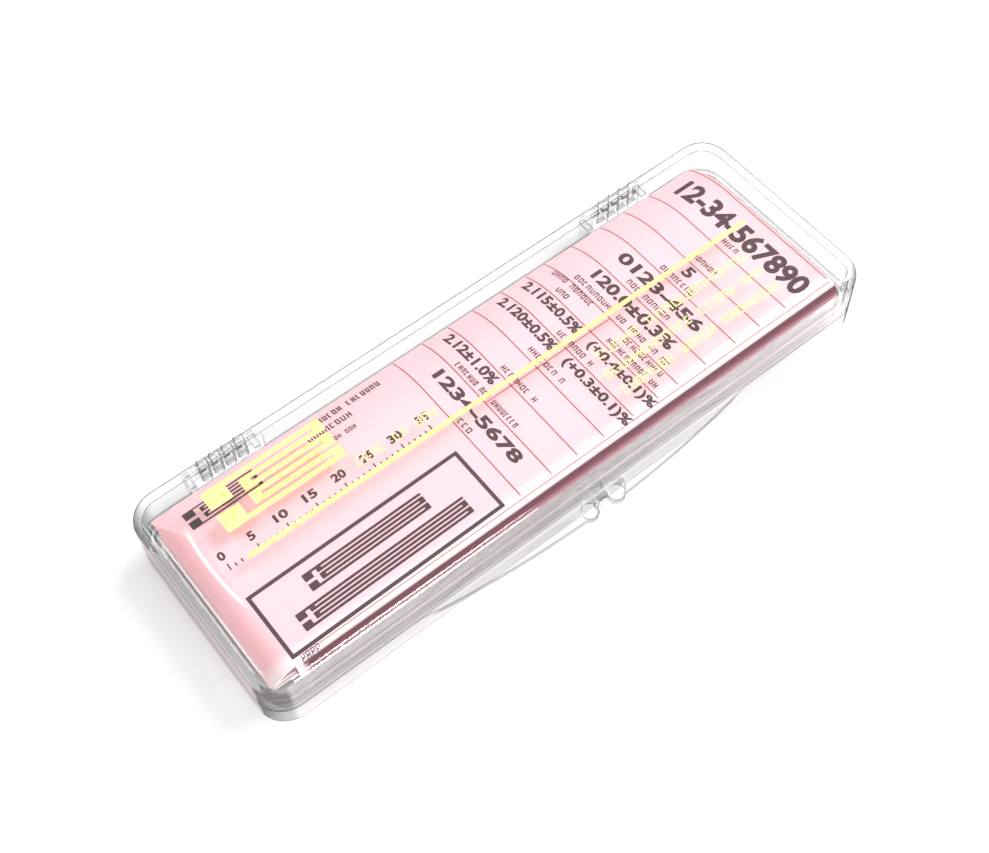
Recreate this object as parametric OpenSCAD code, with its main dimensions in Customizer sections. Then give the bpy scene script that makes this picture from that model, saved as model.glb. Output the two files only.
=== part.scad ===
// Clear hinged pack for foil strain gauges: a shallow tray, a deep lid on two snap hinges,
// a folded data card and a film sleeve of five gauges. Millimetres, Z up.
// X runs along the pack, +Y is the hinge side, and the tray stands on the plane z = 0.

/* [Case] */
// Outside length
case_l = 110; // [100:1:160]
// Outside width
case_w = 37; // [30:0.5:60]
// Height when closed
case_h = 12; // [10.5:0.25:16]
// Height of the tray up to the seam
base_h = 4.45; // [2.4:0.05:5.2]
// Thickness of the side walls
wall = 1; // [0.6:0.05:1.4]
// Thickness of the tray's floor
floor_t = 1; // [0.6:0.05:1.4]
// Thickness of the lid's top
top_t = 1; // [0.6:0.05:1.4]
// Corner radius seen from above
corner_r = 4.8; // [3.6:0.1:8]
// Rounding of the lid's top edge
top_edge_r = 1.6; // [0.4:0.1:2.2]
// Rounding of the tray's bottom edge
bottom_edge_r = 0.8; // [0.2:0.1:1.4]
// Rounding of the cavity's edges under the lid's top
inner_edge_r = 1.3; // [0.3:0.1:1.6]

/* [Seam lip] */
// Thickness of the tray's inner lip
lip_t = 0.7; // [0.4:0.05:1.2]
// Height of the lip above the seam
lip_h = 1.4; // [0.6:0.1:2.2]
// Gap between the lip and the lid
lip_gap = 0.15; // [0.12:0.01:0.4]
// Gap between the tray and the lid at the seam
seam_gap = 0.05; // [0.02:0.01:0.2]

/* [Thumb flange and latch] */
// Length of the lens-shaped flange
flange_l = 60; // [30:1:90]
// How far the flange stands out at its middle
flange_out = 2.6; // [2.2:0.1:4]
// Thickness of the flange
flange_t = 1.1; // [0.6:0.1:1.6]
// Place of the latch along the case
latch_x = 0.9; // [-15:0.1:15]
// Diameter of each latch post
post_d = 2.6; // [1.6:0.1:3.4]
// Distance between the latch posts
post_pitch = 5; // [4.4:0.1:9]
// Height of a post above the flange
post_h = 2.6; // [1.2:0.1:4.5]
// Rounding of a post's top
post_edge_r = 0.5; // [0.1:0.1:1.2]
// Gap between the posts and the lid
post_gap = 0.5; // [0.3:0.05:1.2]
// Depth of the notch between the posts
notch_depth = 1.5; // [0.6:0.1:2.2]
// Gap between the lid's tongue and each post
tongue_gap = 0.3; // [0.15:0.05:0.8]
// Height of the lid's tongue at the wall
tongue_h = 2.4; // [1.4:0.1:4]
// Height of the tongue's tip
tip_h = 0.8; // [0.3:0.1:1.3]

/* [Hinges] */
// Distance of each hinge from the middle
hinge_x = 37.7; // [20:0.1:41]
// Place of the middle between the hinges
hinge_mid = -0.6; // [-3:0.1:3]
// Length of each hinge
hinge_l = 12.3; // [10.8:0.1:20]
// How far the hinge plate stands out
plate_out = 0.7; // [0.4:0.05:1.6]
// How far the plate lies towards +X of the fingers
plate_shift = 1.2; // [0:0.1:2]
// Thickness of the hinge plate
plate_t = 0.8; // [0.5:0.1:1.5]
// Width of each hinge finger
finger_w = 1.5; // [0.8:0.1:1.8]
// Diameter of the round rib behind a finger
rib_d = 1.8; // [1.4:0.1:2]
// How far the ribs show behind the plate
rib_out = 0.65; // [0.3:0.05:0.9]
// Distance between neighbouring fingers
finger_pitch = 2.1; // [1.8:0.05:2.4]
// Hinge pin diameter
pin_d = 1.2; // [0.8:0.05:1.6]
// Running clearance round the pin
pin_gap = 0.05; // [0.02:0.01:0.2]
// Material round the pin in a finger
ring_t = 0.6; // [0.4:0.05:0.9]
// Mouth through which a finger snaps on
mouth_w = 1; // [0.6:0.05:1.1]
// Height of the hinge pin above the seam
pin_rise = 0.8; // [0.3:0.05:1.6]
// Thickness of the ears that hold a pin
ear_t = 1; // [0.5:0.1:1.8]
// Gap between the ears and the lid's window
window_gap = 0.3; // [0.15:0.05:1]

/* [Data card] */
// Thickness of the card
card_t = 0.25; // [0.1:0.01:0.4]
// Gap between the card's square corners and the case's round ones
card_gap = 0.3; // [0.1:0.05:0.8]
// Gap between the card's top and the lid
card_top_gap = 1.2; // [0.3:0.1:2.2]
// Outer radius of the card's front fold
fold_r = 2; // [1:0.1:2.3]
// Radius of the rolled back edge
roll_r = 16; // [6:0.5:20]
// How far the back edge turns down
roll_deg = 33; // [5:1:36]
// Length of the end that droops
droop_l = 3.5; // [2:0.1:4]
// Radius of the drooping end
droop_r = 4.5; // [4.5:0.5:20]
// How far the printed panel stops short at the other end
print_short = 1.5; // [0.2:0.1:4]

/* [Gauges] */
// Length of a gauge's backing
backing_l = 13; // [11:0.5:14.5]
// Width of a gauge's backing
backing_w = 6.4; // [4.6:0.2:14]
// Thickness of the backing
backing_t = 0.12; // [0.03:0.01:0.15]
// Thickness of the foil
foil_t = 0.08; // [0.01:0.01:0.11]
// Length of the measuring grid
grid_l = 6.3; // [3:0.1:7.5]
// Number of strands in the grid
strands = 8; // [4:2:12]
// Width of a strand
strand_w = 0.25; // [0.1:0.01:0.45]
// Gap between strands
strand_gap = 0.2; // [0.1:0.01:0.4]
// Length of the wider loop at a strand's end
loop_l = 0.4; // [0.2:0.05:1.2]
// Size of a solder tab along the gauge
tab_l = 2.4; // [1:0.1:3.6]
// Distance between neighbouring gauges
gauge_pitch = 15; // [13.5:0.5:20]
// Thickness of the sleeve's film
film_t = 0.15; // [0.05:0.01:0.3]
// Room for the gauges inside the sleeve
sleeve_room = 0.24; // [0.21:0.01:0.6]
// Width of the film left round the gauges
sleeve_margin = 3; // [1:0.5:8]

/* [Hidden] */
$fn = 64;
// Small overlap that makes joined pieces one solid
joint = 0.4;
// How far each step of the hinge lies below or inside the last
plate_drop = 0.7;
finger_drop = 0.3;
ear_step = 0.1;
// Bare backing at the grid's end, at the tabs' end and beside the tabs
grid_margin = 1.2;
tab_margin = 0.9;
tab_side = 0.8;
// Half the width of the case
half_w = case_w / 2;
// Inside of the lid and of the lip
lid_in_l = case_l - 2 * wall;
lid_in_w = case_w - 2 * wall;
lip_l = lid_in_l - 2 * lip_gap;
lip_w = lid_in_w - 2 * lip_gap;
tray_l = lip_l - 2 * lip_t;
tray_w = lip_w - 2 * lip_t;
tray_r = corner_r - wall - lip_gap - lip_t;
lip_r = corner_r - wall - lip_gap;
// Radius of the flange's outer edge
flange_r = (pow(flange_l / 2, 2) + pow(flange_out, 2)) / (2 * flange_out);
// Places of the latch
post_r = post_d / 2;
post_x = post_pitch / 2;
post_y = -half_w - post_gap - post_r;
tongue_w = post_pitch - post_d - 2 * tongue_gap;
notch_w = post_pitch - post_d;
tongue_tip = -half_w - flange_out + joint;
// Places of the hinges
ring_r = pin_d / 2 + pin_gap + ring_t;
pin_y = half_w + ring_r + joint;
pin_z = base_h + pin_rise;
plate_top = case_h - top_edge_r - plate_drop;
finger_top = plate_top - finger_drop;
rib_y = half_w + plate_out + rib_out - rib_d / 2;
window_l = hinge_l + 2 * window_gap;
ear_r = ring_r - ear_step;
ear_low = floor_t + ear_step;
// Levels of the card's three panels, from the lid down to the floor
card_top = case_h - top_t - card_top_gap;
panel_mid = card_top - 2 * fold_r;
// Reach of the card's lower and upper panels; their corners clear the round corners by the same gap
card_over = (tray_r - card_gap) * cos(45);
card_l = case_l - 2 * corner_r + 2 * card_over;
lower_reach = half_w - corner_r + card_over;
lid_reach = half_w - corner_r + sqrt(pow(corner_r - wall - card_gap, 2) - pow(card_over, 2));
// The front fold bulges out over the lip as far as its height above the lip lets it
fold_rise = max(0, min(fold_r, card_top - fold_r - base_h - lip_h));
fold_bulge = fold_r - sqrt(pow(fold_r, 2) - pow(fold_rise, 2));
upper_reach = min(lid_reach, lower_reach + fold_bulge);
fold_y = fold_r - upper_reach;
turn_r = (panel_mid + card_t - floor_t) / 2;
turn_y = lower_reach - turn_r;
roll_y = upper_reach - roll_r * sin(roll_deg);
droop_x = droop_l - card_l / 2;
droop_front = fold_y - fold_r / 2;
// Levels in the sleeve
sleeve_z = floor_t + card_t;
gauge_z = sleeve_z + film_t;
foil_z = gauge_z + backing_t;
sleeve_r = film_t + sleeve_room / 2;
sleeve_l = 4 * gauge_pitch + backing_l + 2 * sleeve_margin;
sleeve_w = backing_w + 2 * sleeve_margin;
// Places in a gauge
grid_w = strands * strand_w + (strands - 1) * strand_gap;
grid_x = backing_l / 2 - grid_l - grid_margin;
tab_x = -backing_l / 2 + tab_margin;
tab_w = (grid_w + tab_side - strand_gap) / 2;
step = strand_w + strand_gap;

// Flat outline with four round corners
module rounded_outline(l, w, r) {
  union() {
    square([l - 2 * r, w], center = true);
    square([l, w - 2 * r], center = true);
    for (sx = [-1, 1]) {
      for (sy = [-1, 1]) {
        translate([sx * (l / 2 - r), sy * (w / 2 - r)])
          circle(r);
      }
    }
  }
}

// Half of a cross-section whose upper outer edge is rounded
module edge_profile(half, h, r) {
  union() {
    square([half, h - r]);
    translate([0, h - r])
      square([half - r, r]);
    translate([half - r, h - r])
      intersection() {
        circle(r);
        square(r);
      }
  }
}

// Straight bar whose two upper edges are rounded, along X
module edge_bar(l, w, h, r) {
  for (side = [0, 1]) {
    mirror([0, side, 0])
      translate([-l / 2, 0, 0])
        rotate([90, 0, 90])
          linear_extrude(l)
            edge_profile(w / 2, h, r);
  }
}

// Block with round corners and a rounded upper edge all the way round
module soft_block(l, w, h, corner, edge) {
  union() {
    edge_bar(l - 2 * corner, w, h, edge);
    rotate([0, 0, 90])
      edge_bar(w - 2 * corner, l, h, edge);
    for (sx = [0, 1]) {
      for (sy = [0, 1]) {
        mirror([sx, 0, 0])
          mirror([0, sy, 0])
            translate([l / 2 - corner, w / 2 - corner, 0])
              rotate_extrude(angle = 90)
                edge_profile(corner, h, edge);
      }
    }
  }
}

// Lens-shaped thumb flange with a round seat under each latch post
module flange_outline() {
  difference() {
    union() {
      intersection() {
        translate([0, flange_r - half_w - flange_out])
          circle(flange_r);
        translate([-flange_l, -half_w - 2 * flange_out])
          square([2 * flange_l, 2 * flange_out + joint]);
      }
      for (sx = [-1, 1]) {
        translate([latch_x + sx * post_x, post_y])
          circle(post_r);
      }
    }
    translate([latch_x - notch_w / 2, -half_w - 2 * flange_out])
      square([notch_w, flange_out + notch_depth]);
  }
}

// Round post with a softened top, its foot sunk into the flange
module latch_post() {
  rotate_extrude()
    edge_profile(post_r, post_h + joint, post_edge_r);
}

// Side view of one ear that carries a hinge pin
module ear_profile() {
  union() {
    translate([pin_y, pin_z])
      circle(ear_r);
    translate([pin_y - ear_r, ear_low])
      square([2 * ear_r, pin_z - ear_low]);
    translate([half_w - joint, ear_low])
      square([pin_y - half_w, base_h - ear_low - ear_step]);
  }
}

// Pin and its two ears, along X about the hinge's middle
module tray_hinge() {
  union() {
    for (x0 = [-hinge_l / 2, hinge_l / 2 - ear_t]) {
      translate([x0, 0, 0])
        rotate([90, 0, 90])
          linear_extrude(ear_t)
            ear_profile();
    }
    translate([-hinge_l / 2 + ear_t / 2, pin_y, pin_z])
      rotate([0, 90, 0])
        cylinder(d = pin_d, h = hinge_l - ear_t);
  }
}

// Shallow lower half with its lip, thumb flange, latch posts and hinge pins
module base_tray() {
  color([0.93, 0.95, 0.95, 0.35])
    union() {
      difference() {
        union() {
          translate([0, 0, base_h])
            mirror([0, 0, 1])
              soft_block(case_l, case_w, base_h, corner_r, bottom_edge_r);
          linear_extrude(base_h + lip_h)
            rounded_outline(lip_l, lip_w, lip_r);
        }
        translate([0, 0, floor_t])
          linear_extrude(case_h)
            rounded_outline(tray_l, tray_w, tray_r);
      }
      translate([0, 0, base_h - flange_t])
        linear_extrude(flange_t)
          flange_outline();
      for (sx = [-1, 1]) {
        translate([latch_x + sx * post_x, post_y, base_h - joint])
          latch_post();
        translate([hinge_mid + sx * hinge_x, 0, 0])
          tray_hinge();
      }
    }
}

// One snap finger: a round rib that ends in an open ring
module finger() {
  difference() {
    union() {
      translate([0, rib_y, pin_z])
        cylinder(d = rib_d, h = finger_top - pin_z);
      translate([-finger_w / 2, pin_y, pin_z])
        rotate([0, 90, 0])
          cylinder(r = ring_r, h = finger_w);
    }
    translate([-finger_w, pin_y, pin_z])
      rotate([0, 90, 0])
        cylinder(r = pin_d / 2 + pin_gap, h = 2 * finger_w);
    translate([-finger_w, pin_y - mouth_w / 2, pin_z - 2 * ring_r])
      cube([2 * finger_w, mouth_w, 2 * ring_r]);
  }
}

// Plate over one hinge with the four fingers that hang from it
module lid_hinge() {
  union() {
    translate([plate_shift - hinge_l / 2, half_w - wall, plate_top - plate_t])
      cube([hinge_l, plate_out + wall, plate_t]);
    for (k = [-1.5, -0.5, 0.5, 1.5]) {
      translate([k * finger_pitch, 0, 0])
        finger();
    }
  }
}

// Wedge on the lid's front wall that drops between the latch posts
module latch_tongue() {
  translate([latch_x - tongue_w / 2, 0, base_h + tongue_gap])
    rotate([90, 0, 90])
      linear_extrude(tongue_w)
        polygon([[tongue_tip, 0], [joint - half_w, 0], [joint - half_w, tongue_h],
          [-half_w, tongue_h], [tongue_tip, tip_h]]);
}

// Deep upper half with rounded edges, hinge windows and the latch tongue
module lid() {
  color([0.95, 0.96, 0.96, 0.3])
    union() {
      difference() {
        translate([0, 0, base_h + seam_gap])
          soft_block(case_l, case_w, case_h - base_h - seam_gap, corner_r, top_edge_r);
        translate([0, 0, base_h - joint])
          soft_block(lid_in_l, lid_in_w, case_h - top_t - base_h + joint, corner_r - wall, inner_edge_r);
        for (sx = [-1, 1]) {
          translate([hinge_mid + sx * hinge_x - window_l / 2, half_w - wall - joint, base_h - joint])
            cube([window_l, wall + 2 * joint, plate_top - plate_t / 2 - base_h + joint]);
        }
      }
      for (sx = [-1, 1]) {
        translate([hinge_mid + sx * hinge_x, 0, 0])
          lid_hinge();
      }
      latch_tongue();
    }
}

// Half ring of a sheet, open towards +X of its own plane
module half_ring(outer, t) {
  difference() {
    circle(outer);
    circle(outer - t);
    translate([0, -2 * outer])
      square([2 * outer, 4 * outer]);
  }
}

// Part of a sheet's curl, from straight up to the given angle towards +X of its own plane
module curl(outer, t, turn) {
  intersection() {
    difference() {
      circle(outer);
      circle(outer - t);
    }
    polygon([[0, 0], [0, 2 * outer], [2 * outer * tan(turn), 2 * outer]]);
  }
}

// Side view of the card's printed panel with its front fold and rolled back edge
module upper_profile() {
  union() {
    translate([fold_y, card_top - card_t])
      square([roll_y - fold_y, card_t]);
    translate([fold_y, card_top - fold_r])
      half_ring(fold_r, card_t);
    translate([roll_y, card_top - roll_r])
      curl(roll_r, card_t, roll_deg);
  }
}

// Side view of the card's two inner panels and the fold that joins them at the back
module lower_profile() {
  union() {
    translate([fold_y, panel_mid])
      square([turn_y - fold_y, card_t]);
    translate([turn_y, floor_t + turn_r])
      mirror([1, 0])
        half_ring(turn_r, card_t);
    translate([-turn_y, floor_t])
      square([2 * turn_y, card_t]);
  }
}

// Room under the printed panel's drooping end, lowered by a drop and larger by a rim at its free edges
module droop_room(drop, rim) {
  intersection() {
    translate([droop_x, upper_reach + rim, card_top - droop_r - drop])
      rotate([90, 0, 0])
        linear_extrude(2 * upper_reach + 2 * rim)
          union() {
            intersection() {
              circle(droop_r);
              translate([-droop_l - rim, 0])
                square([droop_l + rim, droop_r]);
            }
            square([joint + rim, droop_r]);
          }
    translate([droop_x - droop_l - rim, 0, 0])
      rotate([90, 0, 90])
        linear_extrude(droop_l + joint + 2 * rim)
          union() {
            translate([droop_front - rim, panel_mid - drop])
              square([roll_y - droop_front + rim, card_top - panel_mid]);
            translate([roll_y, card_top - roll_r - drop])
              intersection() {
                circle(roll_r);
                square([upper_reach - card_t - roll_y + rim, roll_r]);
              }
          }
  }
}

// Folded paper card that fills the pack; the printed panel droops at its -X end
module data_card() {
  color([0.96, 0.7, 0.72])
    union() {
      translate([droop_x, 0, 0])
        rotate([90, 0, 90])
          linear_extrude(card_l / 2 - print_short - droop_x)
            upper_profile();
      translate([-card_l / 2, 0, 0])
        rotate([90, 0, 90])
          linear_extrude(card_l)
            lower_profile();
      difference() {
        droop_room(0, 0);
        droop_room(card_t, card_gap);
      }
    }
}

// Clear film folded once round the row of gauges
module gauge_sleeve() {
  color([0.9, 0.93, 0.95, 0.4])
    translate([-sleeve_l / 2, 0, sleeve_z])
      rotate([90, 0, 90])
        linear_extrude(sleeve_l)
          union() {
            translate([-sleeve_w / 2, 0])
              square([sleeve_w, film_t]);
            translate([-sleeve_w / 2, film_t + sleeve_room])
              square([sleeve_w, film_t]);
            translate([-sleeve_w / 2, sleeve_r])
              half_ring(sleeve_r, film_t);
          }
}

// Amber carrier film of one gauge
module backing(k) {
  color([0.8, 0.52, 0.16])
    translate([(k - 3) * gauge_pitch, 0, gauge_z])
      linear_extrude(backing_t)
        square([backing_l, backing_w], center = true);
}

// Flat outline of one gauge's foil: a grid that runs to and fro between two solder tabs
module foil_outline() {
  union() {
    for (i = [0 : strands - 1]) {
      translate([grid_x, -grid_w / 2 + i * step])
        square([grid_l, strand_w]);
    }
    for (i = [0 : 2 : strands - 2]) {
      translate([grid_x + grid_l - loop_l, -grid_w / 2 + i * step])
        square([loop_l, step + strand_w]);
    }
    for (i = [1 : 2 : strands - 3]) {
      translate([grid_x, -grid_w / 2 + i * step])
        square([loop_l, step + strand_w]);
    }
    for (side = [0, 1]) {
      mirror([0, side, 0]) {
        translate([tab_x, strand_gap / 2])
          square([tab_l, tab_w]);
        translate([tab_x, grid_w / 2 - strand_w])
          square([grid_x - tab_x + loop_l, strand_w]);
      }
    }
  }
}

// Metal foil of one gauge
module foil(k) {
  color([0.78, 0.72, 0.66])
    translate([(k - 3) * gauge_pitch, 0, foil_z])
      linear_extrude(foil_t)
        foil_outline();
}

base_tray();
lid();
data_card();
gauge_sleeve();
backing(1);  // gauge_1_backing
backing(2);  // gauge_2_backing
backing(3);  // gauge_3_backing
backing(4);  // gauge_4_backing
backing(5);  // gauge_5_backing
foil(1);  // gauge_1_foil
foil(2);  // gauge_2_foil
foil(3);  // gauge_3_foil
foil(4);  // gauge_4_foil
foil(5);  // gauge_5_foil
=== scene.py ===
# %% [markdown]
# A slim clear box with a pink data card in it, as foil strain gauges are sold. The solids come from the
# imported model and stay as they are. This script gives every solid its finish, lays the print on the card
# and the stamped foil on the lid, and sets up the light and the camera.

# %% Load the frame
import math
import random
import bmesh
import bpy
from mathutils import Matrix, Vector


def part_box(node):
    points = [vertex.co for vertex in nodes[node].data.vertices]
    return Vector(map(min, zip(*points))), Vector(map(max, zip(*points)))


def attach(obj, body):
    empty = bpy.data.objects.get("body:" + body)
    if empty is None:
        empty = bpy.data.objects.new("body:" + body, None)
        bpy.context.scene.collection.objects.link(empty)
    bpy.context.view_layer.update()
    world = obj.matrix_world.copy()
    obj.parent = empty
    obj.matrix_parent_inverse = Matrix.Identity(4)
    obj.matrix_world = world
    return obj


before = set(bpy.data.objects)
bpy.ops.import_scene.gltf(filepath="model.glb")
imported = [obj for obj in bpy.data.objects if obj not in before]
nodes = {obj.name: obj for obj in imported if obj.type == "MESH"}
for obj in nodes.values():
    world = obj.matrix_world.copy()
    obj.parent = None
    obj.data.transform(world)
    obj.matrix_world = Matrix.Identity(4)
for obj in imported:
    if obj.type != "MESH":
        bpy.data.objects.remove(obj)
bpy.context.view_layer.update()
MM = 0.001

# %% [markdown]
# Shader maths reads best as plain expressions. One small class wraps an output socket, so that a sum or a
# product of two wires adds the Math node that does it.

# %% Wires
class Wire:
    """A value that changes over a surface."""

    def __init__(self, finish, socket):
        self.finish = finish
        self.socket = socket

    def math(self, operation, *values):
        return self.finish.add("ShaderNodeMath", {"operation": operation}, dict(enumerate(values)))

    def __add__(self, other):
        return self.math("ADD", self, other)

    def __sub__(self, other):
        return self.math("SUBTRACT", self, other)

    def __rsub__(self, other):
        return self.math("SUBTRACT", other, self)

    def __mul__(self, other):
        return self.math("MULTIPLY", self, other)

    def __truediv__(self, other):
        return self.math("DIVIDE", self, other)

    __radd__ = __add__
    __rmul__ = __mul__


print("a wire takes +, -, * and /")

# %% [markdown]
# A material and the sky are both node trees. One class holds such a tree, and its one method adds any node
# with its settings and sockets. Soft steps are wanted again and again, so they get a method of their own.

# %% Node trees
class Board:
    """A node tree of a material or of the sky, with one method that adds any node."""

    def __init__(self, owner, shader, place):
        owner.use_nodes = True
        self.tree = owner.node_tree
        self.shader = self.tree.nodes[shader]
        self.place = self.add("ShaderNodeTexCoord", output=place)

    def add(self, kind, settings=None, inputs=None, output=0):
        node = self.tree.nodes.new(kind)
        for key, value in (settings or {}).items():
            setattr(node, key, value)
        for key, value in (inputs or {}).items():
            if isinstance(value, Wire):
                self.tree.links.new(value.socket, node.inputs[key])
            else:
                node.inputs[key].default_value = value
        return Wire(self, node.outputs[output])

    def feed(self, **wires):
        for socket, wire in wires.items():
            self.tree.links.new(wire.socket, self.shader.inputs[socket.replace("_", " ")])

    def step(self, wire, low, high):
        ends = {"Value": wire, "From Min": low, "From Max": high}
        return self.add("ShaderNodeMapRange", {"interpolation_type": "SMOOTHSTEP"}, ends)


print("steps are smooth from a low to a high end")

# %% [markdown]
# A finish is a node tree with its own material. Its patterns read Object coordinates, so they stay on the
# piece when it moves, and noise is given in millimetres because the real grain is.

# %% Finishes
class Finish(Board):
    """One material."""

    def __init__(self, name, **constants):
        self.material = bpy.data.materials.new(name)
        super().__init__(self.material, "Principled BSDF", "Object")
        for socket, value in constants.items():
            self.shader.inputs[socket.replace("_", " ")].default_value = value

    def axes(self):
        return [self.add("ShaderNodeSeparateXYZ", None, {0: self.place}, k) for k in range(3)]

    def noise(self, per_mm, stretch=(1, 1, 1), detail=3):
        scale = [per_mm * s / MM for s in stretch]
        spot = self.add("ShaderNodeMapping", None, {"Vector": self.place, "Scale": scale})
        return self.add("ShaderNodeTexNoise", None, {"Vector": spot, "Scale": 1, "Detail": detail})

    def mix(self, factor, first, second):
        sockets = {0: factor, 6: first, 7: second}
        return self.add("ShaderNodeMix", {"data_type": "RGBA"}, sockets, 2)

    def blend(self, factor, first, second):
        return self.add("ShaderNodeMixShader", None, {0: factor, 1: first, 2: second})

    def show(self, shader):
        self.tree.links.new(shader.socket, self.tree.nodes["Material Output"].inputs["Surface"])

    def bump(self, height, depth_mm):
        sockets = {"Height": height, "Distance": depth_mm * MM, "Strength": 1}
        return self.add("ShaderNodeBump", None, sockets)


def linear(red, green, blue):
    """A screen colour from 0 to 255 as the linear colour that shaders use."""
    parts = [c / 255 for c in (red, green, blue)]
    return tuple(c / 12.92 if c <= 0.04045 else ((c + 0.055) / 1.055) ** 2.4 for c in parts) + (1,)


print("mid grey as shaders see it:", [round(c, 3) for c in linear(128, 128, 128)])

# %% [markdown]
# Clear plastic shows by its edges. Rounded edges bend the light most, so they look dark when they slant
# away, and the moulding's ends look dark along the seam of the two halves and round the thumb flange. That
# darkness is painted shade, laid on as a dark rim. The way a face looks tells rounded edges from flat
# walls, and its place tells the seam and the flange.

# %% Edges of the plastic
SEAM_Z = 4.45 * MM
SEAM_REACH = 0.15 * MM, 0.4 * MM
FRONT_Y = -18.5 * MM
FLANGE_Y = FRONT_Y - 0.5 * MM, FRONT_Y - 0.2 * MM
FLANGE_Z = SEAM_Z - 0.1 * MM, SEAM_Z + 0.1 * MM
FLANGE_SHARE = 0.6
ROUND_ENDS = 0.94, 0.995
UPRIGHT_ENDS = 0.3, 0.7


def facing(finish):
    """How far a face looks along x, y and z, each from 0 to 1."""
    normal = finish.add("ShaderNodeTexCoord", output="Normal")
    parts = [finish.add("ShaderNodeSeparateXYZ", None, {0: normal}, k) for k in range(3)]
    return [part.math("ABSOLUTE", part) for part in parts]


def rounded(finish):
    """1 on rounded edges and corners, 0 on the flat walls."""
    x, y, z = facing(finish)
    flat = x.math("MAXIMUM", x.math("MAXIMUM", x, y), z)
    return 1 - finish.step(flat, *ROUND_ENDS)


def cut_edges(finish):
    """1 along the seam of lid and tray, and less round the thumb flange."""
    _, y, z = finish.axes()
    upright = 1 - finish.step(facing(finish)[2], *UPRIGHT_ENDS)
    off_seam = z - SEAM_Z
    seam = 1 - finish.step(off_seam.math("ABSOLUTE", off_seam), *SEAM_REACH)
    flange = 1 - finish.step(y, *FLANGE_Y)
    flange = FLANGE_SHARE * flange * (1 - finish.step(z, *FLANGE_Z))
    return upright * seam.math("MAXIMUM", seam, flange)


print("seam at z", SEAM_Z / MM, "front wall at y", FRONT_Y / MM)

# %% [markdown]
# Crystal polystyrene is stiff and clear, with a high refractive index and a few fine rubs from handling.
# Refraction alone could make it, but that is noisy and keeps light out of the box. So a face seen head on
# is a clear pane with a mirror sheen, and it turns to refracting glass as it slants away. A painted dark
# rim stands in for the dark lines that refraction gives: it is mixed in along the rounded edges, on flat
# walls seen at a steep slant, along the seam and round the flange. Shadow rays pass through with a small
# loss, as light does.

# %% Clear plastic
PLASTIC_IOR = 1.59
PLASTIC_TINT = (0.985, 0.985, 0.98, 1)
FACE_SHINE = ((PLASTIC_IOR - 1) / (PLASTIC_IOR + 1)) ** 2
PAINTED_RIM_SHADE = (0.12, 0.12, 0.13, 1)
SHADOW_COLOUR = (0.93, 0.93, 0.93, 1)
GLASS_SLANTS = 0.52, 0.95
EDGE_SLANTS = 0.4, 0.85
FLAT_SLANTS = 0.72, 0.96
EDGE_DARK = 0.75
FLAT_DARK = 0.2
CUT_DARK = 0.6
LATCH_SHARE = 0.25


def clear_plastic(name):
    finish = Finish(name, Transmission_Weight=1, IOR=PLASTIC_IOR, Base_Color=PLASTIC_TINT)
    rubs = finish.step(finish.noise(1.2, (0.06, 1, 1)), 0.6, 0.8)
    finish.feed(Roughness=0.01 + 0.05 * rubs)
    glass = Wire(finish, finish.shader.outputs[0])
    slant = finish.add("ShaderNodeLayerWeight", None, {"Blend": 0.5}, "Facing")
    shine = FACE_SHINE + (1 - FACE_SHINE) * slant.math("POWER", slant, 5)
    mirror = finish.add("ShaderNodeBsdfGlossy", None, {"Roughness": 0.03})
    pane = finish.blend(shine, finish.add("ShaderNodeBsdfTransparent"), mirror)
    wall = finish.blend(finish.step(slant, *GLASS_SLANTS), pane, glass)
    case = finish.step(finish.axes()[1], *FLANGE_Y)
    edges = rounded(finish) * finish.step(slant, *EDGE_SLANTS)
    edges = edges * (LATCH_SHARE + (1 - LATCH_SHARE) * case)
    flats = finish.step(slant, *FLAT_SLANTS)
    # painted shade: a dark rim on rounded edges, on steeply slanting walls, along the seam and round the
    # flange
    dark = EDGE_DARK * edges + FLAT_DARK * flats + CUT_DARK * cut_edges(finish)
    painted_rim = finish.add("ShaderNodeBsdfTransparent", None, {"Color": PAINTED_RIM_SHADE})
    shadow = finish.add("ShaderNodeBsdfTransparent", None, {"Color": SHADOW_COLOUR})
    in_shadow = finish.add("ShaderNodeLightPath", output="Is Shadow Ray")
    finish.show(finish.blend(in_shadow, finish.blend(dark, wall, painted_rim), shadow))
    return finish.material


lid_plastic = clear_plastic("lid_clear_plastic")
tray_plastic = clear_plastic("tray_clear_plastic")
print("clear plastic on the lid and the tray")

# %% [markdown]
# The card is thin pink paper, folded under along its front and creased at its drooping left end. A pale
# bent line is painted along the crest of the droop as a highlight. Where the front fold turns under, the
# paper is painted deep maroon as shade. Each is a mask: a value from 0 to 1 made of soft steps along x, y
# and z.

# %% Masks for the painted crease highlight and the painted fold shade
FOLD_R = 2 * MM
card_low, card_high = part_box("data_card")
fold_y = card_low.y + FOLD_R
CREASE_X = 49.65 * MM
CREASE_Y = 4 * MM
CREASE_BEND = 0.01 * MM
CREASE_REACH = 0.1 * MM, 0.4 * MM


# painted highlight: a pale bent line along the crest of the drooping end
def crease_mask(finish, x, y):
    bend = (y - CREASE_Y) / MM
    off_crease = x + CREASE_X - CREASE_BEND * bend * bend
    crease_highlight = 1 - finish.step(off_crease.math("ABSOLUTE", off_crease), *CREASE_REACH)
    return crease_highlight * finish.step(y, -6 * MM, -1 * MM) * (1 - finish.step(y, 9 * MM, 12 * MM))


# painted shade where the front fold turns under
def fold_mask(finish, x, y, z):
    below = 1 - finish.step(z, card_high.z - 0.45 * MM, card_high.z - 0.15 * MM)
    under = below * (1 - finish.step(y, fold_y - 0.9 * MM, fold_y - 0.3 * MM))
    return under * finish.step(x, card_low.x + 3.5 * MM, card_low.x + 5.5 * MM)


print("card from", [round(v / MM, 2) for v in card_low], "to", [round(v / MM, 2) for v in card_high])
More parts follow.
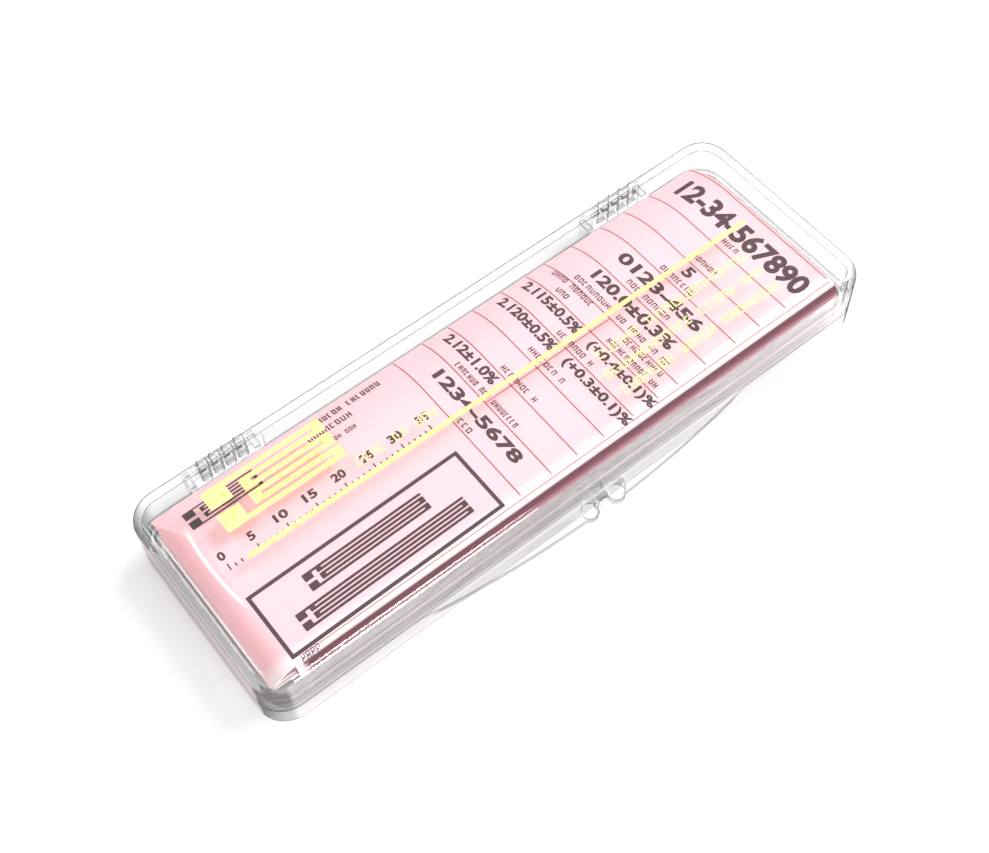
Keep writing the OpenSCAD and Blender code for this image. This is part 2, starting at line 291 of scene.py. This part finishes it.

# %% [markdown]
# Paper is matt, with fibres that show as soft mottling in its colour and as a fine tooth. A painted
# highlight makes it paler near the front fold, painted shade in streaks makes its drooping end deeper, and
# it is a little deeper at its right end. Its lower folds, below the top sheet, are made nearly white.

# %% Pink paper
PINK = linear(252, 204, 211), linear(248, 193, 201)
SHADE_AND_DEEP_PINK = linear(255, 188, 193)
FRONT_HIGHLIGHT_PINK = linear(255, 244, 246)
CREASE_HIGHLIGHT_WHITE = linear(255, 250, 250)
FOLD_SHADE_COLOURS = linear(172, 116, 128), linear(86, 36, 46)
INNER_WHITE = linear(255, 242, 244)
TOOTH = 0.02


def pink_paper():
    finish = Finish("pink_card_paper", Roughness=0.85, Specular_IOR_Level=0.3)
    x, y, z = finish.axes()
    fibres = finish.noise(2.2, (1, 0.35, 1), 5)
    cloud = finish.noise(0.09, detail=2)
    streaks = finish.noise(0.8, (1, 0.05, 1))
    left = 1 - finish.step(x, card_low.x + 1.5 * MM, card_low.x + 4 * MM)
    right = finish.step(x, card_high.x - 8 * MM, card_high.x)
    # painted highlight: the paper turns paler near the front fold
    front = 1 - finish.step(y, fold_y, fold_y + 2 * MM)
    # the lower folds, below the top sheet, are made nearly white
    inner = 1 - finish.step(z, card_high.z - 3.6 * MM, card_high.z - 2.2 * MM)
    # painted shade: the front fold's turn is deep maroon, darkest near the top of the fold
    shade = finish.mix(finish.step(z, card_high.z - 2.6 * MM, card_high.z - 0.5 * MM), *FOLD_SHADE_COLOURS)
    # painted shade in streaks on the drooping left end; the right end and the mottling are the paper's own
    # deeper tone
    droop_shade_and_tone = left * (0.3 + 0.7 * streaks) + 0.7 * right * cloud + 0.5 * (cloud - 0.5)
    colour = finish.mix(droop_shade_and_tone, finish.mix(0.35 * fibres, *PINK), SHADE_AND_DEEP_PINK)
    colour = finish.mix(0.7 * front, colour, FRONT_HIGHLIGHT_PINK)
    # painted highlight: the pale line along the crest of the droop
    colour = finish.mix(crease_mask(finish, x, y), colour, CREASE_HIGHLIGHT_WHITE)
    colour = finish.mix(fold_mask(finish, x, y, z), colour, shade)
    colour = finish.mix(0.7 * inner, colour, INNER_WHITE)
    finish.feed(Base_Color=colour, Normal=finish.bump(fibres, TOOTH))
    return finish.material


card_paper = pink_paper()
print("paper:", card_paper.name)

# %% [markdown]
# Inside the folded card lies a film sleeve with the gauges: amber carrier film with an etched metal grid.
# They show only when the lid is open or the card is lifted, but each still gets its own finish.

# %% Sleeve, backing and foil
def sleeve_film():
    finish = Finish("sleeve_film", Transmission_Weight=1, IOR=1.5, Base_Color=(0.96, 0.97, 0.98, 1))
    creases = finish.noise(0.3, (1, 0.4, 1))
    finish.feed(Roughness=0.08 + 0.15 * creases, Normal=finish.bump(creases, 0.05))
    return finish.material


def amber_backing():
    finish = Finish("amber_backing", Coat_Weight=0.3)
    grain = finish.noise(3, detail=4)
    colour = finish.mix(grain, linear(196, 120, 38), linear(222, 158, 70))
    finish.feed(Base_Color=colour, Roughness=0.3 + 0.2 * grain)
    return finish.material


def etched_foil():
    finish = Finish("etched_foil", Metallic=1)
    lines = finish.noise(6, (0.1, 1, 1))
    colour = finish.mix(lines, linear(176, 160, 146), linear(214, 203, 190))
    finish.feed(Base_Color=colour, Roughness=0.3 + 0.25 * lines)
    return finish.material


finishes = {
    "lid": lid_plastic,
    "base_tray": tray_plastic,
    "data_card": card_paper,
    "gauge_sleeve": sleeve_film(),
    "backing": amber_backing(),
    "foil": etched_foil(),
}
for name, node in nodes.items():
    finish = finishes.get(name) or finishes[name.rsplit("_", 1)[-1]]
    node.data.materials.clear()
    node.data.materials.append(finish)
print("finishes set on", len(nodes), "nodes")

# %% [markdown]
# Ink soaks into paper, so it is matt and a little uneven. Hot-stamped foil is a bright flat yellow with a
# soft sheen. Each has its own finish below.

# %% Inks and stamped foil
def ink(name, dark, light):
    finish = Finish(name, Roughness=0.7, Specular_IOR_Level=0.3)
    speckle = finish.noise(4, detail=4)
    finish.feed(Base_Color=finish.mix(speckle, dark, light))
    return finish.material


def stamped_foil():
    finish = Finish("stamped_foil", Metallic=0.1)
    wear = finish.noise(1.5, detail=5)
    colour = finish.mix(finish.step(wear, 0.5, 0.72), linear(254, 240, 158), linear(232, 202, 92))
    finish.feed(Base_Color=colour, Roughness=0.3 + 0.2 * wear, Normal=finish.bump(wear, 0.02))
    return finish.material


black_ink = ink("black_ink", linear(54, 33, 39), linear(80, 54, 60))
red_ink = ink("red_ink", linear(172, 70, 80), linear(196, 100, 108))
gold_foil = stamped_foil()
print("inks:", black_ink.name, red_ink.name, gold_foil.name)

# %% [markdown]
# The printed face of the card is flat in the middle, folds under along the front, rolls down along the
# back and droops at the left end. Everything printed on it has to follow that form, so one function gives
# the height of the paper at any place, and another cuts a flat piece across the bends and lays it down.

# %% The card's printed face
ROLL_R = 16 * MM
ROLL_DEG = 33
DROOP_R = 4.5 * MM
DROOP_L = 3.5 * MM
SAG_LIMIT = 0.98
DROOP_CUTS = 1, 6
ROLL_CUTS = 0.6, 15
FOLD_CUTS = 0.25, 8
INK_RISE = 0.012 * MM
INK_SINK = 0.01 * MM
roll_y = -card_low.y - ROLL_R * math.sin(math.radians(ROLL_DEG))
droop_x = card_low.x + DROOP_L


def sag(radius, reach):
    """How far a sheet that turns down with this radius has dropped after this reach."""
    reach = min(max(reach, 0), SAG_LIMIT * radius)
    return radius - math.sqrt(radius ** 2 - reach ** 2)


def paper_height(x, y):
    return card_high.z - sag(DROOP_R, droop_x - x) - sag(ROLL_R, y - roll_y) - sag(FOLD_R, fold_y - y)


def bend_cuts():
    """Planes across the bends: a step in millimetres and a count for each bend."""
    (droop, droops), (roll, rolls), (fold, folds) = DROOP_CUTS, ROLL_CUTS, FOLD_CUTS
    cuts = [(Vector((droop_x - droop * k * MM, 0, 0)), Vector((1, 0, 0))) for k in range(droops)]
    cuts += [(Vector((0, roll_y + roll * k * MM, 0)), Vector((0, 1, 0))) for k in range(rolls)]
    cuts += [(Vector((0, fold_y - fold * k * MM, 0)), Vector((0, 1, 0))) for k in range(folds)]
    return cuts


def lay_on_card(mesh):
    """Cuts a flat mesh across the bends and lowers it on to the paper."""
    work = bmesh.new()
    work.from_mesh(mesh)
    for point, normal in bend_cuts():
        parts = work.verts[:] + work.edges[:] + work.faces[:]
        bmesh.ops.bisect_plane(work, geom=parts, plane_co=point, plane_no=normal)
    for vert in work.verts:
        vert.co.z += paper_height(vert.co.x, vert.co.y)
    work.to_mesh(mesh)
    work.free()


bends = {"fold y": fold_y, "roll y": roll_y, "droop x": droop_x}
print("bends in mm:", {name: round(place / MM, 2) for name, place in bends.items()})

# %% [markdown]
# Bars, frames, ticks and rows of small marks are all the same thing: a thin block on a surface. Geometry
# Nodes puts one block on each point of a point cloud and scales it by an attribute, so a whole panel of
# print is a list of places and sizes.

# %% A tree that puts blocks on points
def link_object(name, mesh):
    piece = bpy.data.objects.new(name, mesh)
    bpy.context.scene.collection.objects.link(piece)
    return piece


def new_tree(name, inputs):
    tree = bpy.data.node_groups.new(name, "GeometryNodeTree")
    tree.interface.new_socket("Geometry", in_out="INPUT", socket_type="NodeSocketGeometry")
    for label, kind in inputs.items():
        tree.interface.new_socket(label, in_out="INPUT", socket_type=kind)
    tree.interface.new_socket("Geometry", in_out="OUTPUT", socket_type="NodeSocketGeometry")
    return tree, tree.nodes.new("NodeGroupInput"), tree.nodes.new("NodeGroupOutput")


def finish_tree(tree, last, entry, end):
    real = tree.nodes.new("GeometryNodeRealizeInstances")
    paint = tree.nodes.new("GeometryNodeSetMaterial")
    tree.links.new(last, real.inputs[0])
    tree.links.new(real.outputs[0], paint.inputs["Geometry"])
    tree.links.new(entry.outputs["Finish"], paint.inputs["Material"])
    tree.links.new(paint.outputs[0], end.inputs[0])
    return tree


def grow(name, mesh, tree, **inputs):
    """Runs a tree on a mesh and returns the result as a plain mesh."""
    seed = link_object(name + "_seed", mesh)
    modifier = seed.modifiers.new(tree.name, "NODES")
    modifier.node_group = tree
    sockets = {s.name: s.identifier for s in tree.interface.items_tree if s.in_out == "INPUT"}
    for label, value in inputs.items():
        modifier[sockets[label]] = value
    graph = bpy.context.evaluated_depsgraph_get()
    result = bpy.data.meshes.new_from_object(seed.evaluated_get(graph), depsgraph=graph)
    seed.modifiers.remove(modifier)
    bpy.data.objects.remove(seed)
    result.name = name
    return result


def block_tree():
    tree, entry, end = new_tree("blocks_on_points", {"Finish": "NodeSocketMaterial"})
    cube = tree.nodes.new("GeometryNodeMeshCube")
    cube.inputs["Size"].default_value = (1, 1, 1)
    size = tree.nodes.new("GeometryNodeInputNamedAttribute")
    size.data_type = "FLOAT_VECTOR"
    size.inputs["Name"].default_value = "size"
    place = tree.nodes.new("GeometryNodeInstanceOnPoints")
    tree.links.new(entry.outputs["Geometry"], place.inputs["Points"])
    tree.links.new(cube.outputs["Mesh"], place.inputs["Instance"])
    tree.links.new(size.outputs["Attribute"], place.inputs["Scale"])
    return finish_tree(tree, place.outputs[0], entry, end)


blocks = block_tree()


def block_mesh(name, bars, finish):
    """Bars are (x, y, length along x, length along y) in millimetres, about z = 0."""
    seed = bpy.data.meshes.new(name + "_points")
    middle = (INK_RISE - INK_SINK) / 2
    seed.from_pydata([(x * MM, y * MM, middle) for x, y, _, _ in bars], [], [])
    size = seed.attributes.new("size", "FLOAT_VECTOR", "POINT")
    for spot, (_, _, along_x, along_y) in zip(size.data, bars):
        spot.vector = (along_x * MM, along_y * MM, INK_RISE + INK_SINK)
    return grow(name, seed, blocks, Finish=finish)


print("tree:", blocks.name)

# %% [markdown]
# The card's left panel has a heavy black frame with two gauge pictograms in it, a third one at the back and
# a millimetre scale. A pictogram is a grid of strands joined at alternate ends, with two tabs, so all of
# these are bars.

# %% Bars of the black print
TAB_WIDE = 0.48
TAB_TALL = 0.42
GRID_START = 1.5


def gauge_mark(x0, x1, y0, y1, strands, weight):
    """Bars of a strain gauge seen from above, with its two tabs at x0."""
    pitch = (y1 - y0 - weight) / (strands - 1)
    rows = [y0 + weight / 2 + k * pitch for k in range(strands)]
    tab = TAB_WIDE * (y1 - y0)
    grid_x0 = x0 + GRID_START * tab
    bars = []
    for k, y in enumerate(rows):
        start = x0 if k in (0, strands - 1) else grid_x0
        bars.append(((start + x1) / 2, y, x1 - start, weight))
    for k in range(strands - 1):
        end = x1 - weight if k % 2 == 0 else grid_x0 + weight
        bars.append((end, (rows[k] + rows[k + 1]) / 2, 2 * weight, pitch - weight))
    half = TAB_TALL * (y1 - y0)
    bars.append((x0 + tab / 2, y0 + weight + half / 2 - weight / 2, tab, half - weight))
    bars.append((x0 + tab / 2, y1 - weight - half / 2 + weight / 2, tab, half - weight))
    return bars


def frame_bars(x0, x1, y0, y1, weight):
    middle_x, middle_y = (x0 + x1) / 2, (y0 + y1) / 2
    tall = y1 - y0 - weight
    return [
        (middle_x, y0, x1 - x0 + weight, weight),
        (middle_x, y1, x1 - x0 + weight, weight),
        (x0, middle_y, weight, tall),
        (x1, middle_y, weight, tall),
    ]


print("bars in a small pictogram:", len(gauge_mark(0, 10, 0, 3, 5, 0.4)))

# %% [markdown]
# The scale has a long tick at every fifth millimetre. The panel is a list of bars: the frame, the
# pictograms and the ticks, each with its place on the card in millimetres.

# %% Bars of the left panel
FRAME = (-48.1, -12.35, -14, -3.1, 0.6)
PICTOGRAMS = [
    (-40.6, -20.2, -7.9, -4.9, 5, 0.42),
    (-44.6, -15.9, -12.2, -9.2, 5, 0.42),
    (-48.3, -36.4, 10.6, 14.2, 6, 0.3),
]
SCALE_X0 = -47.5
SCALE_L = 35
SCALE_STEP = 5
TICK_Y = 2.6
TICK_W = 0.22
TICK_H = 1.1
TICK_CUT = 0.5

border = frame_bars(*FRAME)
for mark in PICTOGRAMS:
    border += gauge_mark(*mark)
for k in range(SCALE_L + 1):
    cut = TICK_CUT * (k % SCALE_STEP > 0)
    border.append((SCALE_X0 + k, TICK_Y - cut / 2, TICK_W, TICK_H - cut))
print("bars in the left panel:", len(border))

# %% [markdown]
# The captions are rows of small signs. Each sign is a few strokes of a square, chosen by chance, so a row
# is again a list of bars. The random numbers have a fixed seed, so every run gives the same rows.

# %% Rows of small signs
STROKES = {
    "left": (-1, 0),
    "right": (1, 0),
    "top": (0, 1),
    "middle": (0, 0),
    "bottom": (0, -1),
}
SIGNS = [
    "left right top",
    "left right bottom",
    "left right middle",
    "left top bottom",
    "left right top bottom",
]
LETTER_SHARE = 0.74
SEED = 7
draw = random.Random(SEED)


def word_row(start, end, across, height, words, pen, upright=True):
    """Strokes for a row of words. Upright rows run along x, the others along y with their heads at +x."""
    letters = sum(words) + len(words) - 1
    pitch = (end - start) / letters
    wide = math.copysign(LETTER_SHARE * abs(pitch) - pen, pitch)
    bars = []
    place = start
    for count in words:
        for _ in range(count):
            for stroke in draw.choice(SIGNS).split():
                along, rise = STROKES[stroke]
                middle = place + pitch / 2 + along * wide / 2
                level = across + rise * (height - pen) / 2
                size = (pen, height) if along else (abs(wide) - pen, pen)
                bars.append((middle, level, *size) if upright else (level, middle, size[1], size[0]))
            place += pitch
        place += pitch
    return bars


print("signs to draw from:", len(SIGNS))

# %% [markdown]
# The table's captions read along the rows, which run across the card. A few rows in the left panel read
# along the card. Each row here is its place, its two ends and the letters in its words.

# %% Captions
CAPTIONS = [
    (43.15, 1.3, -2.1, (4,)),
    (37.8, 2, -3, (6,)),
    (32.5, 3.5, -3.8, (8,)),
    (26.7, 4.7, -4.8, (3, 6)),
    (21.2, 10.5, -11, (10, 2, 4, 2, 2)),
    (19.45, 13.8, 4.4, (4, 6)),
    (19.2, -3.2, -11.8, (10,)),
    (17.5, 10.5, 7.8, (3,)),
    (17.3, -1.7, -12.8, (11, 2)),
    (12.5, 4.1, -3.9, (7, 1)),
    (7.3, 4.5, -3.6, (7, 1)),
    (2.1, 4.5, -3.6, (7, 1)),
    (-2.8, 9.2, -5.2, (7, 3, 8)),
    (-8.5, 2.2, -1.8, (4,)),
]
CAPTION_H = 0.95
CAPTION_PEN = 0.19
PANEL_ROWS = [
    (14.5, -24.5, -13.3, 1.2, (5, 7)),
    (12.3, -27.6, -19.8, 1.1, (8,)),
    (9.9, -27.8, -20.6, 0.8, (4, 2, 3)),
    (-15.1, -47.4, -44.3, 0.6, (4,)),
    (-15.7, -47.5, -44.4, 0.6, (4,)),
]
PANEL_PEN = 0.2

captions = []
for across, start, end, words in CAPTIONS:
    captions += word_row(start, end, across, CAPTION_H, words, CAPTION_PEN, upright=False)
for across, start, end, height, words in PANEL_ROWS:
    captions += word_row(start, end, across, height, words, PANEL_PEN * height)
print("caption marks:", len(captions))

# %% [markdown]
# The left panel is printed a little askew, so its bars are sheared first. Then each piece of print is laid
# on the paper and rides on the tray, where the card lies.

# %% Black bars and captions on the paper
ASKEW = math.tan(math.radians(0.7))
ASKEW_X0 = -12.4 * MM


def askew(mesh):
    """Turns the left panel's print a little, as it is on the card."""
    for vert in mesh.vertices:
        vert.co.y += ASKEW * (vert.co.x - ASKEW_X0)
    return mesh


def ink_piece(name, mesh):
    lay_on_card(mesh)
    piece = link_object(name, mesh)
    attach(piece, "tray")
    print(name, len(mesh.polygons), "faces")
    return piece


ink_piece("card_border_print", askew(block_mesh("card_border_print", border, black_ink)))
ink_piece("card_caption_print", block_mesh("card_caption_print", captions, black_ink))

# %% [markdown]
# The figures in the table are plain numbers. A text object is turned into a mesh, fitted to its cell, and
# turned a quarter so that it reads along the rows, before it is laid on the paper.

# %% Figures
FIGURE_THICK = 0.04
TEXT_DEPTH = 0.5
TEXT_STEPS = 3


def figure_mesh(body):
    curve = bpy.data.curves.new("figures", "FONT")
    curve.body = body
    curve.offset = FIGURE_THICK
    curve.extrude = TEXT_DEPTH
    curve.resolution_u = TEXT_STEPS
    holder = link_object("figures", curve)
    graph = bpy.context.evaluated_depsgraph_get()
    mesh = bpy.data.meshes.new_from_object(holder.evaluated_get(graph), depsgraph=graph)
    bpy.data.objects.remove(holder)
    return mesh


def fit_figures(body, low, high, turned):
    """Figures that fill the cell from low to high, in millimetres; turned ones read towards -y."""
    mesh = figure_mesh(body)
    if turned:
        mesh.transform(Matrix.Rotation(-math.pi / 2, 4, "Z"))
    corners = [v.co for v in mesh.vertices]
    old_low = Vector(min(c[k] for c in corners) for k in range(3))
    old_high = Vector(max(c[k] for c in corners) for k in range(3))
    low = Vector((low[0] * MM, low[1] * MM, -INK_SINK))
    high = Vector((high[0] * MM, high[1] * MM, INK_RISE))
    for vert in mesh.vertices:
        share = [(vert.co[k] - old_low[k]) / (old_high[k] - old_low[k]) for k in range(3)]
        vert.co = [low[k] + share[k] * (high[k] - low[k]) for k in range(3)]
    return mesh


print("corners in one figure:", len(figure_mesh("0").vertices))

# %% [markdown]
# Each row of the table has its figures between two places across the card. The scale has small ones, which
# are a little askew with the rest of the left panel. All figures of one kind are joined to one piece.

# %% Figures of the table and the scale
FIGURES = [
    ("12-34-567890", 44, 48.2, 13.9, -13.7),
    ("5", 33.8, 35.9, 0.7, -1),
    ("0123-456", 28, 30.3, 9.1, -9.2),
    ("120.0±0.3%", 22.7, 24.9, 9, -9),
    ("2.115±0.5%", 13.9, 15.8, 15, 2),
    ("(+0.4±0.1)%", 13.6, 15.7, -0.5, -15),
    ("2.120±0.5%", 9.1, 11, 15, 2),
    ("(+0.3±0.1)%", 8.8, 11, -0.5, -15),
    ("2.12±1.0%", -1.4, 0.5, 14.8, 2.8),
    ("1234-5678", -7.1, -4.9, 9.8, -9.9),
]
MARK_HALF = 0.55
MARK_Y = 3.9, 5.4


def join_meshes(name, meshes):
    work = bmesh.new()
    for mesh in meshes:
        work.from_mesh(mesh)
    joined = bpy.data.meshes.new(name)
    work.to_mesh(joined)
    work.free()
    joined.materials.append(black_ink)
    return joined


cells = [fit_figures(body, (x0, end), (x1, start), True) for body, x0, x1, start, end in FIGURES]
ink_piece("card_figure_print", join_meshes("card_figure_print", cells))
marks = []
for k in range(0, SCALE_L + 1, SCALE_STEP):
    half = MARK_HALF * len(str(k))
    low, high = (SCALE_X0 + k - half, MARK_Y[0]), (SCALE_X0 + k + half, MARK_Y[1])
    marks.append(fit_figures(str(k), low, high, False))
ink_piece("card_scale_print", askew(join_meshes("card_scale_print", marks)))

# %% [markdown]
# Red rules part the rows of the table. Each starts just behind the front fold, runs across the card and
# follows its rolled back edge, so it is a path: Geometry Nodes sweeps a thin flat bar along it.

# %% A tree that sweeps bars along paths
def rule_tree():
    sizes = {"Width": "NodeSocketFloat", "Depth": "NodeSocketFloat", "Finish": "NodeSocketMaterial"}
    tree, entry, end = new_tree("bars_along_paths", sizes)
    path = tree.nodes.new("GeometryNodeMeshToCurve")
    upright = tree.nodes.new("GeometryNodeSetCurveNormal")
    upright.mode = "Z_UP"
    bar = tree.nodes.new("GeometryNodeCurvePrimitiveQuadrilateral")
    sweep = tree.nodes.new("GeometryNodeCurveToMesh")
    sweep.inputs["Fill Caps"].default_value = True
    tree.links.new(entry.outputs["Geometry"], path.inputs[0])
    tree.links.new(path.outputs[0], upright.inputs[0])
    tree.links.new(upright.outputs[0], sweep.inputs["Curve"])
    tree.links.new(entry.outputs["Width"], bar.inputs["Width"])
    tree.links.new(entry.outputs["Depth"], bar.inputs["Height"])
    tree.links.new(bar.outputs[0], sweep.inputs["Profile Curve"])
    return finish_tree(tree, sweep.outputs[0], entry, end)


sweep_bars = rule_tree()
print("tree:", sweep_bars.name)

# %% [markdown]
# A path is a chain of points on the paper, one chain for each rule. A divider between the columns and a
# thin line along the front fold are straight, so blocks make those.

# %% Red rules along the paper
RULE_X = [50.2, 41.6, 36.3, 31.45, 25.5, 20, 16.2, 11.4, 5.9, 1, -3.8, -9.4]
RULE_W = 0.2
RULE_FRONT_GAP = 0.3 * MM
RULE_BACK_GAP = 0.1 * MM
PATH_STEPS = 60
DIVIDER_X = RULE_X[10], RULE_X[5]
DIVIDER_Y = 0.9
DIVIDER_SHARE = 0.8
EDGE_X = -47, RULE_X[0]
EDGE_Y = fold_y / MM - 0.3
EDGE_SHARE = 0.7


def rule_paths():
    front = fold_y + RULE_FRONT_GAP
    back = -card_low.y - RULE_BACK_GAP
    verts, edges = [], []
    for x in RULE_X:
        for k in range(PATH_STEPS + 1):
            y = front + (back - front) * k / PATH_STEPS
            if k:
                edges.append((len(verts) - 1, len(verts)))
            verts.append((x * MM, y, paper_height(x * MM, y)))
    mesh = bpy.data.meshes.new("rule_paths")
    mesh.from_pydata(verts, edges, [])
    return mesh


def straight_rule(ends, y, share):
    """A bar along x, in millimetres."""
    return ((ends[0] + ends[1]) / 2, y, ends[1] - ends[0], share * RULE_W)


sizes = {"Width": RULE_W * MM, "Depth": 2 * INK_RISE}
rules = grow("card_rule_print", rule_paths(), sweep_bars, Finish=red_ink, **sizes)
rule_piece = link_object("card_rule_print", rules)
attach(rule_piece, "tray")
straight = [straight_rule(DIVIDER_X, DIVIDER_Y, DIVIDER_SHARE), straight_rule(EDGE_X, EDGE_Y, EDGE_SHARE)]
ink_piece("card_divider_print", block_mesh("card_divider_print", straight, red_ink))
print("rules:", len(RULE_X), "faces:", len(rules.polygons))

# %% [markdown]
# The lid is stamped in yellow foil: one long line, a gauge pictogram and rows of small marks. The stamp
# lies flat on the lid, so the same blocks make it, lifted to the top of the lid.

# %% Stamped foil on the lid
_, lid_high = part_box("lid")
STAMP_LINE = (0.85, 0.67, 91.7, 0.75)
STAMP_MARK = (-45, -25, 5.4, 13, 6, 0.8)
STAMP_ROWS = [
    (3.35, -25, -10.7, (4, 2, 3)),
    (-4.2, 12.8, 42.5, (5, 12)),
    (-7.7, 11.6, 42.5, (12, 5, 3)),
    (-11.2, 12, 42.5, (7, 5, 8)),
]
STAMP_H = 1.4
STAMP_PEN = 0.22

stamp = [STAMP_LINE] + gauge_mark(*STAMP_MARK)
for row_y, start, end, words in STAMP_ROWS:
    stamp += word_row(start, end, row_y, STAMP_H, words, STAMP_PEN)
gold = block_mesh("lid_stamp", stamp, gold_foil)
gold.transform(Matrix.Translation((0, 0, lid_high.z)))
stamp_piece = link_object("lid_stamp", gold)
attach(stamp_piece, "lid")
print("stamp:", len(stamp), "bars")

# %% [markdown]
# The box lies on a white table. The floor is one large pale sheet with a faint tooth, a hair below the box
# so that the two faces don't lie in one plane.

# %% Floor
FLOOR_HALF = 2
FLOOR_GAP = 0.05 * MM
FLOOR_GREYS = (0.9, 0.9, 0.9, 1), (0.93, 0.93, 0.93, 1)


def white_floor():
    finish = Finish("white_floor", Roughness=0.6)
    finish.feed(Base_Color=finish.mix(finish.noise(0.4, detail=4), *FLOOR_GREYS))
    return finish.material


floor_mesh = bpy.data.meshes.new("floor")
corners = [(x * FLOOR_HALF, y * FLOOR_HALF, -FLOOR_GAP) for x, y in [(-1, -1), (1, -1), (1, 1), (-1, 1)]]
floor_mesh.from_pydata(corners, [], [(0, 1, 2, 3)])
floor_mesh.materials.append(white_floor())
floor = link_object("floor", floor_mesh)
print("floor:", 2 * FLOOR_HALF, "m wide")

# %% [markdown]
# The light is soft and bright, as in a photograph that is nearly white. The sky is a white dome, darker at
# the horizon so that the plastic's slanting faces have something to mirror. A large lamp on the right gives
# the shadow its direction, a low one lights the front edge and a small one the back left rim.

# %% Light
SKY = 0.68
HORIZON = 0.5
HORIZON_ENDS = 0.03, 0.3
LAMPS = [
    ("key_lamp", (620, -40, 520), 0.4, 6.2),
    ("front_lamp", (40, -420, 75), 0.15, 1.7),
    ("rim_lamp", (-150, 170, 330), 0.12, 0.3),
]


def soft_lamp(name, at_mm, across, power):
    """A round lamp that looks at the origin."""
    data = bpy.data.lights.new(name, "AREA")
    data.shape = "DISK"
    data.size = across
    data.energy = power
    lamp = bpy.data.objects.new(name, data)
    at = Vector(at_mm) * MM
    lamp.matrix_world = Matrix.Translation(at) @ at.to_track_quat("Z", "Y").to_matrix().to_4x4()
    bpy.context.scene.collection.objects.link(lamp)


world = bpy.data.worlds.new("soft_white_room")
sky = Board(world, "Background", "Generated")
height = sky.add("ShaderNodeSeparateXYZ", None, {0: sky.place}, "Z")
sky.feed(Strength=SKY * (HORIZON + (1 - HORIZON) * sky.step(height, *HORIZON_ENDS)))
sky.shader.inputs["Color"].default_value = (1, 1, 1, 1)
bpy.context.scene.world = world
for lamp in LAMPS:
    soft_lamp(*lamp)
bpy.context.scene.view_settings.view_transform = "Standard"
print("lamps:", [name for name, *_ in LAMPS])

# %% [markdown]
# The camera stands where the photograph was taken from: in front and to the left, well above the box. Its
# three axes are worked out from two angles and a small roll, which is plainer than a chain of rotations.

# %% Camera
VIEW_AZIMUTH = math.radians(-35.12)
VIEW_ELEVATION = math.radians(58.52)
VIEW_ROLL = math.radians(-3.46)
LOOK_AT = Vector((-1.79, 1.81, 0)) * MM
DISTANCE = 232.43 * MM
LENS = 55.71
CLIP_START = 0.01

back = Vector((
    math.sin(VIEW_AZIMUTH) * math.cos(VIEW_ELEVATION),
    -math.cos(VIEW_AZIMUTH) * math.cos(VIEW_ELEVATION),
    math.sin(VIEW_ELEVATION),
))
right = Matrix.Rotation(VIEW_ROLL, 3, back) @ Vector((0, 0, 1)).cross(back).normalized()
up = back.cross(right)
camera_data = bpy.data.cameras.new("camera")
camera_data.lens = LENS
camera_data.sensor_fit = "HORIZONTAL"
camera_data.clip_start = CLIP_START
camera = bpy.data.objects.new("camera", camera_data)
axes = Matrix((right, up, back)).transposed().to_4x4()
camera.matrix_world = Matrix.Translation(LOOK_AT + back * DISTANCE) @ axes
bpy.context.scene.collection.objects.link(camera)
bpy.context.scene.camera = camera
print("camera at", [round(v / MM, 1) for v in camera.location])
